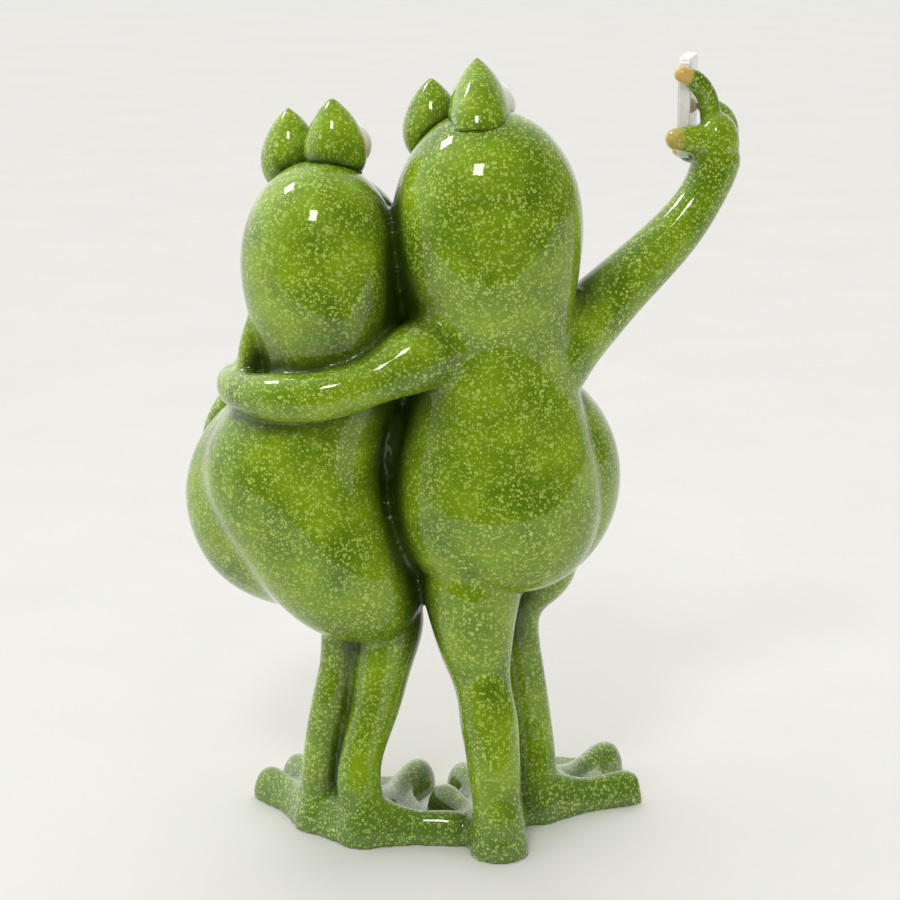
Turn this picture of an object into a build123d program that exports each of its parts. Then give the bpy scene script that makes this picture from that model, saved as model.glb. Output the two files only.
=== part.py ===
from build123d import *
import os
from math import cos, radians, sin

# Two cast resin frogs stand side by side. The tall one hugs the small one and holds up a phone.
# X runs to the frogs' right, Y the way they face and Z up from the floor. All lengths are millimetres.
# It is laid out from the plane where the bodies touch, and moved to the middle of its box at the end.

# Tall frog, body casting with its head
TALL_HIP_WIDTH = 57.0
TALL_HIP_DEPTH = 46.0
TALL_WAIST_WIDTH = 45.0
TALL_WAIST_DEPTH = 38.0
TALL_HEAD_WIDTH = 50.0
TALL_HEAD_DEPTH = 46.0
TALL_BASE_Z = 68.5
TALL_HIP_Z = 93.0
TALL_WAIST_Z = 125.0
TALL_HEAD_Z = 167.0
TALL_CROWN_Z = 197.5
TALL_WAIST_SHIFT = -0.5
TALL_HEAD_SHIFT = -2.2
TALL_BACK_Y = -3.0
TALL_BELLY_WIDTH = 64.0
TALL_BELLY_DEPTH = 50.0
TALL_BELLY_HEIGHT = 66.0
TALL_BELLY_Z = 96.0
TALL_BELLY_SHIFT = 2.3
TALL_BELLY_FORWARD = 12.0
TALL_SNOUT_WIDTH = 46.0
TALL_SNOUT_LENGTH = 36.0
TALL_SNOUT_HEIGHT = 35.0
TALL_SNOUT_FORWARD = 13.0
TALL_SNOUT_SIDE = -11.0
TALL_SNOUT_RISE = 6.5

# Small frog, body casting with its head
SMALL_HIP_WIDTH = 48.0
SMALL_HIP_DEPTH = 44.0
SMALL_WAIST_WIDTH = 41.0
SMALL_WAIST_DEPTH = 36.0
SMALL_HEAD_WIDTH = 41.8
SMALL_HEAD_DEPTH = 42.0
SMALL_BASE_Z = 54.5
SMALL_HIP_Z = 90.0
SMALL_WAIST_Z = 127.0
SMALL_HEAD_Z = 157.0
SMALL_CROWN_Z = 184.0
SMALL_LEAN = 17.0
SMALL_WAIST_SHIFT = 7.8
SMALL_HEAD_SHIFT = 5.2
SMALL_BACK_Y = -3.0
SMALL_BELLY_WIDTH = 60.0
SMALL_BELLY_DEPTH = 48.0
SMALL_BELLY_HEIGHT = 63.0
SMALL_BELLY_Z = 91.0
SMALL_BELLY_SHIFT = -3.3
SMALL_BELLY_FORWARD = 12.0
SMALL_SNOUT_WIDTH = 40.0
SMALL_SNOUT_LENGTH = 34.0
SMALL_SNOUT_HEIGHT = 32.0
SMALL_SNOUT_FORWARD = 13.0
SMALL_SNOUT_SIDE = -8.0
SMALL_SNOUT_RISE = 6.0
BODY_OVERLAP = 1.5

# Heads turned to the phone, with bud shaped eyelids and eyeballs
HEAD_TURN_DEG = 40.0
EYE_SPACING = 15.6
LID_WIDTH = 16.6
LID_HEIGHT = 20.0
LID_ROOT = 7.0
LID_LEAN_DEG = 5.0
EYEBALL_DIAMETER = 13.0
EYEBALL_FORWARD = 4.6
EYEBALL_RISE = 6.5
TALL_EYE_FORWARD = 2.6
TALL_EYE_SIDE = -12.2
TALL_LID_SINK = 7.0
TALL_LID_DROP = 6.5
SMALL_EYE_FORWARD = 7.0
SMALL_EYE_SIDE = -8.0
SMALL_LID_SINK = 4.0
SMALL_LID_DROP = 4.0

# Raised arm with its hand, from the shoulder inside the tall body
RAISED_SHOULDER_Z = 131.0
RAISED_SHOULDER_SINK = 9.0
RAISED_REACH = 46.0
RAISED_FORWARD = 17.0
RAISED_RISE = 50.0
RAISED_ROOT_RADIUS = 12.6
RAISED_UPPER_RADIUS = 9.7
RAISED_MIDDLE_RADIUS = 8.2
RAISED_FOREARM_RADIUS = 7.2
RAISED_WRIST_RADIUS = 6.2
PALM_WIDTH = 12.0
PALM_DEPTH = 13.0
PALM_HEIGHT = 17.0
PALM_RISE = 4.5
FINGER_RADIUS = 2.8
FINGER_TIP_RADIUS = 2.2
FINGER_RISE = 24.0
THUMB_RADIUS = 4.2
THUMB_TIP_RADIUS = 3.0
THUMB_REACH = 11.0

# Phone, held on edge between the fingers and the thumb
PHONE_HEIGHT = 27.0
PHONE_WIDTH = 14.0
PHONE_THICKNESS = 3.2
PHONE_CORNER = 2.5
PHONE_EDGE = 0.6
PHONE_TURN_DEG = 13.0
PHONE_OUT = 7.5
PHONE_FORWARD = 5.5
PHONE_RISE = 14.0

# Hugging arm with its hand, round the small frog's neck
HUG_ROOT_RADIUS = 9.5
HUG_RADIUS = 6.4
HUG_WRIST_RADIUS = 5.4
HUG_RISE = 11.0
HUG_SINK = 2.0
HUG_FINGER_RADIUS = 2.6
HUG_THUMB_RISE = 17.0
HUG_THUMB_SINK = 2.2
HUG_THUMB_RADIUS = 3.5
HUG_THUMB_TIP_RADIUS = 2.0

# The small frog's own arms, folded in front of the bellies
FOLDED_SHOULDER_SINK = 5.0
FOLDED_SHOULDER_DROP = 7.0
FOLDED_SHOULDER_RADIUS = 6.5
FOLDED_ELBOW_RADIUS = 5.4
FOLDED_WRIST_RADIUS = 4.4
FOLDED_FINGER_RADIUS = 2.5
FOLDED_SINK = 1.5

# Legs
TALL_THIGH_RADIUS = 13.4
TALL_LOWER_THIGH_RADIUS = 10.6
TALL_KNEE_RADIUS = 7.3
TALL_CALF_RADIUS = 7.8
TALL_ANKLE_RADIUS = 6.8
BENT_THIGH_RADIUS = 9.5
BENT_KNEE_RADIUS = 6.0
BENT_SHIN_RADIUS = 5.5
BENT_ANKLE_RADIUS = 6.0
SMALL_THIGH_RADIUS = 9.0
SMALL_LOWER_THIGH_RADIUS = 7.8
SMALL_KNEE_RADIUS = 6.5
SMALL_SHIN_RADIUS = 5.8
SMALL_ANKLE_RADIUS = 6.4
SLIM_THIGH_RADIUS = 6.4
SLIM_SHIN_RADIUS = 5.6
SLIM_ANKLE_RADIUS = 6.0

# Webbed feet
HEEL_WIDTH = 16.0
HEEL_HEIGHT = 14.0
TOE_LENGTH = 40.0
TOE_WIDTH = 10.0
TOE_HEIGHT = 8.5
WEB_THICKNESS = 5.5

# Steel wires cast into the thin limbs
WIRE_DIAMETER = 2.4
WIRE_BEND_RADIUS = 6.0

# Round ends of the bodies, tips of the limbs and the outline of a lid, as shares of the sizes they follow
ROUND_ANGLES_DEG = (10.0, 24.0, 42.0, 64.0)
BOTTOM_FULL_SHARE = 0.6
TOP_FULL_SHARE = 0.95
TIP_BALL_SHARE = 1.03
TIP_TURN_SHARE = 0.6
LID_BASE_SHARE = 0.8
LID_PROFILE_SHARES = ((1.0, 0.27), (0.8, 0.6), (0.34, 0.88), (0.0, 1.0))

# Raised arm from shoulder to wrist, and its fingers from the wrist, as shares across, forward and up
RAISED_PATH_SHARES = (
    (0.0, 0.0, 0.0), (0.22, 0.23, 0.168), (0.45, 0.47, 0.36),
    (0.7, 0.7, 0.57), (0.895, 0.9, 0.785), (1.0, 1.0, 1.0),
)
INDEX_PATH_SHARES = (
    (-0.06, 0.04, 0.1), (-0.07, 0.08, 0.46), (-0.12, 0.04, 0.7), (-0.25, -0.04, 0.88), (-0.41, -0.13, 0.97),
)
MIDDLE_PATH_SHARES = ((0.08, 0.1, 0.1), (0.15, 0.25, 0.3), (0.08, 0.42, 0.46), (-0.1, 0.5, 0.54))
RING_PATH_SHARES = ((-0.05, 0.15, 0.05), (-0.25, 0.26, 0.04), (-0.38, 0.36, 0.08))
THUMB_PATH_SHARES = ((0.0, 0.0, 0.0), (-0.5, -0.17, 0.1), (-1.0, -0.33, 0.16))

# Hugging arm from inside the tall body, then turns round the small neck, with the height of each turn
HUG_ROOT_SHARES = ((-0.25, -0.2, 1.0), (-0.48, -0.4, 0.72))
HUG_TURNS_DEG = (-62.0, -92.0, -122.0, -152.0, -180.0)
HUG_TURN_RISE_SHARES = (0.32, 0.0, -0.12, -0.18, -0.2)
HUG_THUMB_TURN_DEG = -160.0
HUG_THUMB_PATH_SHARES = ((0.0, 0.0, 0.0), (0.04, 0.16, 0.5), (0.1, 0.3, 1.0))
HUG_FINGER_TURNS_DEG = (-174.0, -200.0, -228.0)
HUG_FINGER_SPREAD_SHARES = (-2.3, 0.0, 2.3)

# Folded arms, as turns from straight ahead and lifts from level about the belly that they lie on
LEFT_SHOULDER_TURN_DEG = 155.0
LEFT_ARM_TURNS_DEG = ((-36.0, 40.0), (-40.0, 14.0))
LEFT_HAND_TURNS_DEG = ((-14.0, 4.0),)
RIGHT_SHOULDER_TURN_DEG = 40.0
RIGHT_ARM_TURNS_DEG = ((46.0, 30.0),)
RIGHT_HAND_TURNS_DEG = ((-32.0, 16.0), (-10.0, 8.0))
FOLDED_HAND_TURN_DEG = 20.0
FOLDED_FINGER_LIFTS_DEG = (-22.0, 0.0, 22.0)

# Legs from hip to ankle, as shares of the hips' width and depth and of the height of the body's base
TALL_LEFT_LEG_SHARES = (
    (-0.096, -0.043, 1.17), (-0.104, -0.109, 1.0), (-0.092, -0.174, 0.83), (-0.053, -0.25, 0.64),
    (-0.028, -0.314, 0.525), (0.007, -0.41, 0.26), (0.023, -0.45, 0.1),
)
TALL_RIGHT_LEG_SHARES = (
    (0.289, 0.24, 1.15), (0.2, 0.24, 1.0), (0.122, 0.24, 0.85), (0.132, 0.23, 0.69),
    (0.19, 0.195, 0.365), (0.207, 0.12, 0.1),
)
SMALL_LEFT_LEG_SHARES = (
    (0.229, 0.045, 1.21), (0.219, 0.023, 1.03), (0.19, 0.0, 0.84), (0.146, -0.023, 0.66),
    (0.106, -0.03, 0.46), (0.083, -0.023, 0.15),
)
SMALL_RIGHT_LEG_SHARES = (
    (0.479, 0.0, 1.21), (0.469, -0.023, 1.03), (0.433, -0.068, 0.86), (0.392, -0.125, 0.66),
    (0.327, -0.18, 0.47), (0.327, -0.25, 0.15),
)

# Feet: the way each toe points, from straight ahead, its share of the toe length, and its section
TALL_LEFT_TOE_TURNS_DEG = (-28.0, -12.0, 12.0)
TALL_LEFT_TOE_SHARES = (0.86, 1.22, 1.0)
TALL_RIGHT_TOE_TURNS_DEG = (3.0, 32.0, 67.0)
TALL_RIGHT_TOE_SHARES = (1.0, 1.09, 0.78)
SMALL_RIGHT_TOE_TURNS_DEG = (-2.0, 21.0, 93.0)
SMALL_RIGHT_TOE_SHARES = (1.0, 1.08, 0.7)
SMALL_LEFT_TOE_TURNS_DEG = (-37.0, -15.0, 5.0)
SMALL_LEFT_TOE_SHARES = (0.72, 0.88, 0.9)
TOE_SECTION_SHARES = (
    (0.0, 1.3, 1.4), (0.35, 1.05, 1.15), (0.7, 0.95, 1.0), (0.95, 0.95, 0.95), (1.0, 0.8, 0.8),
)
WEB_REACH_SHARE = 0.84
WEB_DIP_SHARE = 0.12
HEEL_BAR_SHARE = 0.9

ACROSS = Vector(1, 0, 0)
FORWARD = Vector(0, 1, 0)
UP = Vector(0, 0, 1)
FACING = Vector(sin(radians(HEAD_TURN_DEG)), cos(radians(HEAD_TURN_DEG)), 0)
ASIDE = Vector(cos(radians(HEAD_TURN_DEG)), -sin(radians(HEAD_TURN_DEG)), 0)
TALL_X = TALL_HIP_WIDTH / 2
SMALL_X = BODY_OVERLAP - SMALL_HIP_WIDTH / 2
TALL_SEAT = Vector(TALL_X, TALL_BACK_Y, 0)
SMALL_SEAT = Vector(SMALL_X, SMALL_BACK_Y, 0)
TALL_SPANS = (TALL_HIP_WIDTH, TALL_HIP_DEPTH, TALL_BASE_Z)
SMALL_SPANS = (SMALL_HIP_WIDTH, SMALL_HIP_DEPTH, SMALL_BASE_Z)
TALL_HEAD = Vector(TALL_X + TALL_HEAD_SHIFT, TALL_BACK_Y, TALL_HEAD_Z)
SMALL_HEAD = Vector(SMALL_X + SMALL_HEAD_SHIFT, SMALL_BACK_Y, SMALL_HEAD_Z)
TALL_BELLY = Vector(TALL_X + TALL_BELLY_SHIFT, TALL_BACK_Y + TALL_BELLY_FORWARD, TALL_BELLY_Z)
SMALL_BELLY = Vector(SMALL_X + SMALL_BELLY_SHIFT, SMALL_BACK_Y + SMALL_BELLY_FORWARD, SMALL_BELLY_Z)
TALL_BELLY_SIZE = (TALL_BELLY_WIDTH, TALL_BELLY_DEPTH, TALL_BELLY_HEIGHT)
SMALL_BELLY_SIZE = (SMALL_BELLY_WIDTH, SMALL_BELLY_DEPTH, SMALL_BELLY_HEIGHT)
SMALL_NECK = Vector(SMALL_X + SMALL_WAIST_SHIFT, SMALL_BACK_Y, SMALL_WAIST_Z)
TALL_SIDE_X = TALL_X + TALL_WAIST_SHIFT + TALL_WAIST_WIDTH / 2
SHOULDER = Vector(TALL_SIDE_X - RAISED_SHOULDER_SINK, 0, RAISED_SHOULDER_Z)
WRIST = SHOULDER + Vector(RAISED_REACH, RAISED_FORWARD, RAISED_RISE)
TALL_LEG_RADII = (
    TALL_THIGH_RADIUS, TALL_THIGH_RADIUS, TALL_LOWER_THIGH_RADIUS, TALL_KNEE_RADIUS,
    TALL_CALF_RADIUS, TALL_ANKLE_RADIUS, TALL_ANKLE_RADIUS,
)
BENT_LEG_RADII = (
    BENT_THIGH_RADIUS, BENT_THIGH_RADIUS, BENT_KNEE_RADIUS,
    BENT_SHIN_RADIUS, BENT_SHIN_RADIUS, BENT_ANKLE_RADIUS,
)
SMALL_LEG_RADII = (
    SMALL_THIGH_RADIUS, SMALL_THIGH_RADIUS, SMALL_LOWER_THIGH_RADIUS, SMALL_KNEE_RADIUS,
    SMALL_SHIN_RADIUS, SMALL_ANKLE_RADIUS,
)
SLIM_LEG_RADII = (
    SLIM_THIGH_RADIUS, SLIM_THIGH_RADIUS, SLIM_SHIN_RADIUS,
    SLIM_SHIN_RADIUS, SLIM_SHIN_RADIUS, SLIM_ANKLE_RADIUS,
)


def along(start, spans, shares):
    return start + Vector(spans[0] * shares[0], spans[1] * shares[1], spans[2] * shares[2])


def path(start, spans, path_shares):
    return [along(start, spans, shares) for shares in path_shares]


def ovoid(center, size, turn_deg=0.0):
    ball = scale(Sphere(0.5), by=size)
    return Pos(center) * Rot(0, 0, -turn_deg) * ball


def limb(points, radii, side):
    # A loft through even circles along a smooth run of points, with a ball for its far end.
    line = Spline(*points)
    marks = [0.0]
    for here, after in zip(points, points[1:]):
        marks.append(marks[-1] + (after - here).length)
    count = 2 * len(points)
    sections = []
    for i in range(count):
        run_share = i / (count - 1)
        run = run_share * marks[-1]
        k = max(j for j in range(len(marks) - 1) if marks[j] <= run)
        span_share = (run - marks[k]) / (marks[k + 1] - marks[k])
        radius = radii[k] + (radii[k + 1] - radii[k]) * span_share
        heading = line % run_share
        side = (side - heading * side.dot(heading)).normalized()
        sections.append(Plane(line @ run_share, side, heading) * Circle(radius))
    tip = Plane(points[-1], heading.cross(side) + side * TIP_TURN_SHARE, heading)
    width = 2 * radii[-1] * TIP_BALL_SHARE
    ball = scale(Sphere(0.5), by=(width, width, width))
    return loft(sections) + tip * ball


def largest(shape):
    # A cut between two round castings can leave crumbs, which the piece loses.
    return max(shape.solids(), key=lambda solid: solid.volume)


def round_end(middle_z, end_z, x, lean, y, width, depth, full_share):
    stations = []
    for angle in ROUND_ANGLES_DEG:
        size_share = sin(radians(angle)) ** full_share
        run_share = cos(radians(angle))
        station_z = middle_z + (end_z - middle_z) * run_share
        stations.append((x + lean * run_share, y, station_z, width * size_share, depth * size_share))
    return stations


def pear(x, y, heights, hip, waist, head, lean, waist_shift, head_shift):
    # Hips, waist and head in one loft through level ovals, closed by a full bottom and a round crown.
    base_z, hip_z, waist_z, head_z, crown_z = heights
    stations = round_end(hip_z, base_z, x, lean, y, *hip, BOTTOM_FULL_SHARE)
    stations.append((x, y, hip_z, *hip))
    stations.append((x + waist_shift, y, waist_z, *waist))
    stations.append((x + head_shift, y, head_z, *head))
    stations += reversed(round_end(head_z, crown_z, x + head_shift, 0, y, *head, TOP_FULL_SHARE))
    ovals = []
    for station_x, station_y, station_z, width, depth in stations:
        ovals.append(Plane((station_x, station_y, station_z)) * Ellipse(width / 2, depth / 2))
    return loft(ovals)


def tall_forms():
    heights = (TALL_BASE_Z, TALL_HIP_Z, TALL_WAIST_Z, TALL_HEAD_Z, TALL_CROWN_Z)
    hip = (TALL_HIP_WIDTH, TALL_HIP_DEPTH)
    waist = (TALL_WAIST_WIDTH, TALL_WAIST_DEPTH)
    head = (TALL_HEAD_WIDTH, TALL_HEAD_DEPTH)
    shifts = (0, TALL_WAIST_SHIFT, TALL_HEAD_SHIFT)
    back = pear(TALL_X, TALL_BACK_Y, heights, hip, waist, head, *shifts)
    snout = TALL_HEAD + FACING * TALL_SNOUT_FORWARD + ASIDE * TALL_SNOUT_SIDE + UP * TALL_SNOUT_RISE
    snout_size = (TALL_SNOUT_WIDTH, TALL_SNOUT_LENGTH, TALL_SNOUT_HEIGHT)
    return back, ovoid(snout, snout_size, HEAD_TURN_DEG), ovoid(TALL_BELLY, TALL_BELLY_SIZE)


def small_forms():
    heights = (SMALL_BASE_Z, SMALL_HIP_Z, SMALL_WAIST_Z, SMALL_HEAD_Z, SMALL_CROWN_Z)
    hip = (SMALL_HIP_WIDTH, SMALL_HIP_DEPTH)
    waist = (SMALL_WAIST_WIDTH, SMALL_WAIST_DEPTH)
    head = (SMALL_HEAD_WIDTH, SMALL_HEAD_DEPTH)
    shifts = (SMALL_LEAN, SMALL_WAIST_SHIFT, SMALL_HEAD_SHIFT)
    back = pear(SMALL_X, SMALL_BACK_Y, heights, hip, waist, head, *shifts)
    snout = SMALL_HEAD + FACING * SMALL_SNOUT_FORWARD + ASIDE * SMALL_SNOUT_SIDE + UP * SMALL_SNOUT_RISE
    snout_size = (SMALL_SNOUT_WIDTH, SMALL_SNOUT_LENGTH, SMALL_SNOUT_HEIGHT)
    return back, ovoid(snout, snout_size, HEAD_TURN_DEG), ovoid(SMALL_BELLY, SMALL_BELLY_SIZE)


def eye_place(head, crown_z, forward, aside, sink, drop, hand):
    # The left eye sits lower than the right one, as the heads tilt.
    center = head + FACING * forward + ASIDE * (aside + hand * EYE_SPACING / 2)
    base_z = crown_z - sink - drop * (1 - hand) / 2
    return Pos(center.X, center.Y, base_z) * Rot(0, 0, -HEAD_TURN_DEG) * Rot(LID_LEAN_DEG, 0, 0)


def eyelid(place):
    # A bud turned about its own axis, with a root that reaches down into the head.
    radius = LID_WIDTH / 2
    base = radius * LID_BASE_SHARE
    outline = [(radius * out_share, LID_HEIGHT * up_share) for out_share, up_share in LID_PROFILE_SHARES]
    with BuildPart() as bud:
        with BuildSketch(Plane.XZ):
            with BuildLine():
                Polyline((0, LID_HEIGHT), (0, -LID_ROOT), (base, -LID_ROOT), (base, 0))
                Spline((base, 0), *outline)
            make_face()
        revolve(axis=Axis.Z)
    return place * bud.part


def eyeball(place):
    center = Vector(0, EYEBALL_FORWARD, EYEBALL_RISE)
    return place * ovoid(center, (EYEBALL_DIAMETER, EYEBALL_DIAMETER, EYEBALL_DIAMETER))


def phone():
    slab = Box(PHONE_THICKNESS, PHONE_WIDTH, PHONE_HEIGHT)
    slab = fillet(slab.edges().filter_by(Axis.X), PHONE_CORNER)
    slab = fillet(slab.edges(), PHONE_EDGE)
    center = WRIST + Vector(-PHONE_OUT, PHONE_FORWARD, PHONE_RISE)
    return Pos(center) * Rot(0, 0, -PHONE_TURN_DEG) * slab


def finger(path_shares):
    points = path(WRIST, (FINGER_RISE, FINGER_RISE, FINGER_RISE), path_shares)
    radii = [FINGER_RADIUS] * (len(points) - 1) + [FINGER_TIP_RADIUS]
    return limb(points, radii, FORWARD)


def raised_path():
    return path(SHOULDER, (RAISED_REACH, RAISED_FORWARD, RAISED_RISE), RAISED_PATH_SHARES)


def raised_arm():
    radii = (
        RAISED_ROOT_RADIUS, RAISED_UPPER_RADIUS, RAISED_MIDDLE_RADIUS,
        RAISED_FOREARM_RADIUS, RAISED_WRIST_RADIUS, RAISED_WRIST_RADIUS,
    )
    palm = WRIST + UP * PALM_RISE
    arm = limb(raised_path(), radii, FORWARD) + ovoid(palm, (PALM_WIDTH, PALM_DEPTH, PALM_HEIGHT))
    for path_shares in (INDEX_PATH_SHARES, MIDDLE_PATH_SHARES, RING_PATH_SHARES):
        arm += finger(path_shares)
    thumb = path(palm, (THUMB_REACH, THUMB_REACH, THUMB_REACH), THUMB_PATH_SHARES)
    return arm + limb(thumb, (THUMB_RADIUS, THUMB_RADIUS, THUMB_TIP_RADIUS), UP)


def neck_point(angle_deg, stand_off, rise):
    reach_x = SMALL_WAIST_WIDTH / 2 + stand_off
    reach_y = SMALL_WAIST_DEPTH / 2 + stand_off
    return SMALL_NECK + Vector(reach_x * cos(radians(angle_deg)), reach_y * sin(radians(angle_deg)), rise)


def hug_path():
    root = Vector(TALL_X, TALL_BACK_Y, SMALL_WAIST_Z)
    points = path(root, (TALL_WAIST_WIDTH, TALL_WAIST_DEPTH, HUG_RISE), HUG_ROOT_SHARES)
    for turn, rise_share in zip(HUG_TURNS_DEG, HUG_TURN_RISE_SHARES):
        points.append(neck_point(turn, HUG_RADIUS - HUG_SINK, HUG_RISE * rise_share))
    return points


def hugging_arm():
    radii = (
        HUG_ROOT_RADIUS, HUG_ROOT_RADIUS, HUG_RADIUS, HUG_RADIUS, HUG_RADIUS,
        HUG_WRIST_RADIUS, HUG_WRIST_RADIUS,
    )
    arm = limb(hug_path(), radii, UP)
    thumb_root = neck_point(HUG_THUMB_TURN_DEG, HUG_THUMB_SINK, 0)
    thumb = path(thumb_root, (HUG_THUMB_RISE, HUG_THUMB_RISE, HUG_THUMB_RISE), HUG_THUMB_PATH_SHARES)
    arm += limb(thumb, (HUG_THUMB_RADIUS, HUG_THUMB_RADIUS, HUG_THUMB_TIP_RADIUS), ACROSS)
    for spread_share in HUG_FINGER_SPREAD_SHARES:
        points = []
        for i, turn in enumerate(HUG_FINGER_TURNS_DEG):
            fan_share = spread_share * (i + 1) / len(HUG_FINGER_TURNS_DEG)
            points.append(neck_point(turn, HUG_FINGER_RADIUS, HUG_FINGER_RADIUS * fan_share))
        arm += limb(points, [HUG_FINGER_RADIUS] * len(points), UP)
    return arm


def belly_point(belly, size, turn_deg, lift_deg, stand_off):
    level = cos(radians(lift_deg))
    out_shares = (level * sin(radians(turn_deg)), level * cos(radians(turn_deg)), sin(radians(lift_deg)))
    return along(belly, [width / 2 + stand_off for width in size], out_shares)


def folded_arm(shoulder_turn, arm_turns, hand_turns, hand_belly, hand_size):
    # The shoulder is inside the small neck, the arm lies on the small belly, the hand on the one it holds.
    stand_off = FOLDED_ELBOW_RADIUS - FOLDED_SINK
    points = [neck_point(shoulder_turn, -FOLDED_SHOULDER_SINK, -FOLDED_SHOULDER_DROP)]
    points += [belly_point(SMALL_BELLY, SMALL_BELLY_SIZE, *turn, stand_off) for turn in arm_turns]
    points += [belly_point(hand_belly, hand_size, *turn, stand_off) for turn in hand_turns]
    radii = (FOLDED_SHOULDER_RADIUS, FOLDED_ELBOW_RADIUS, FOLDED_ELBOW_RADIUS, FOLDED_WRIST_RADIUS)
    arm = limb(points, radii, UP)
    wrist = points[-1]
    wrist_turn, wrist_lift = hand_turns[-1]
    for lift in FOLDED_FINGER_LIFTS_DEG:
        tip_turns = (wrist_turn + FOLDED_HAND_TURN_DEG, wrist_lift + lift)
        tip = belly_point(hand_belly, hand_size, *tip_turns, FOLDED_FINGER_RADIUS - FOLDED_SINK)
        knuckle = (wrist + tip) / 2 + FORWARD * FOLDED_FINGER_RADIUS
        points = [wrist, knuckle, tip]
        arm += limb(points, [FOLDED_FINGER_RADIUS] * len(points), UP)
    return arm


def small_left_arm():
    turns = (LEFT_SHOULDER_TURN_DEG, LEFT_ARM_TURNS_DEG, LEFT_HAND_TURNS_DEG)
    return folded_arm(*turns, SMALL_BELLY, SMALL_BELLY_SIZE)


def small_right_arm():
    turns = (RIGHT_SHOULDER_TURN_DEG, RIGHT_ARM_TURNS_DEG, RIGHT_HAND_TURNS_DEG)
    return folded_arm(*turns, TALL_BELLY, TALL_BELLY_SIZE)


def above_floor(shape, place):
    reach = 2 * TOE_LENGTH
    return shape - Pos(place.X, place.Y, -reach) * Box(2 * reach, 2 * reach, 2 * reach)


def foot(ankle, toe_turns, toe_shares):
    # A heel mound, wedge toes and a web between them, cut level at the sole.
    heel = Vector(ankle.X, ankle.Y, 0)
    shape = ovoid(heel, (HEEL_WIDTH, HEEL_WIDTH, 2 * HEEL_HEIGHT))
    web_corners = []
    for turn, length_share in zip(toe_turns, toe_shares):
        heading = Vector(sin(radians(turn)), cos(radians(turn)), 0)
        length = TOE_LENGTH * length_share
        sections = []
        for run_share, width_share, height_share in TOE_SECTION_SHARES:
            plane = Plane(heel + heading * (length * run_share), heading.cross(UP), heading)
            sections.append(plane * Ellipse(TOE_WIDTH / 2 * width_share, TOE_HEIGHT * height_share))
        shape += loft(sections)
        web_corners.append(heel + heading * (length * WEB_REACH_SHARE))
    for left, right in zip(web_corners, web_corners[1:]):
        shape += web(heel, left, right)
    return above_floor(shape, heel)


def web(heel, left, right):
    middle = (left + right) / 2
    dip = middle + (heel - middle).normalized() * ((right - left).length * WEB_DIP_SHARE)
    with BuildPart() as plate:
        with BuildSketch():
            with BuildLine():
                Polyline((right.X, right.Y), (heel.X, heel.Y), (left.X, left.Y))
                ThreePointArc((left.X, left.Y), (dip.X, dip.Y), (right.X, right.Y))
            make_face()
        extrude(amount=WEB_THICKNESS)
    return plate.part


def heel_bar(left_ankle, right_ankle):
    left = Vector(left_ankle.X, left_ankle.Y, 0)
    right = Vector(right_ankle.X, right_ankle.Y, 0)
    heading = (right - left).normalized()
    oval = Ellipse(HEEL_WIDTH / 2 * HEEL_BAR_SHARE, HEEL_HEIGHT * HEEL_BAR_SHARE)
    start = Plane(left, heading.cross(UP), heading) * oval
    end = Plane(right, heading.cross(UP), heading) * oval
    return above_floor(loft([start, end]), left)


def wire(points):
    # Straight runs joined by tangent bends, as wire is bent by hand.
    line = FilletPolyline(*points, radius=WIRE_BEND_RADIUS)
    section = Plane(points[0], z_dir=points[1] - points[0]) * Circle(WIRE_DIAMETER / 2)
    return sweep(section, line)


def add_bodies(nodes, tall, small):
    back, snout, belly = tall
    nodes["tall_frog_body"] = back + belly + snout
    back, snout, belly = small
    nodes["small_frog_body"] = back + belly + snout - nodes["tall_frog_body"]


def add_eyes(nodes, frog, forms, setting):
    back, snout, belly = forms
    left = eye_place(*setting, -1)
    right = eye_place(*setting, 1)
    nodes[f"{frog}_right_eyeball"] = eyeball(right) - back - snout
    nodes[f"{frog}_right_eyelid"] = eyelid(right) - back - snout - eyeball(right)
    nodes[f"{frog}_left_eyeball"] = eyeball(left) - back - snout - eyelid(right) - eyeball(right)
    nodes[f"{frog}_left_eyelid"] = eyelid(left) - back - snout - eyeball(left) - eyelid(right) - eyeball(right)


def add_arms(nodes):
    tall = nodes["tall_frog_body"]
    small = nodes["small_frog_body"]
    nodes["phone"] = phone()
    nodes["raised_arm"] = raised_arm() - tall - nodes["phone"]
    nodes["hugging_arm"] = hugging_arm() - tall - small
    nodes["small_left_arm"] = small_left_arm() - small - tall - nodes["hugging_arm"]
    nodes["small_right_arm"] = small_right_arm() - tall - small - nodes["small_left_arm"]


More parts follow.
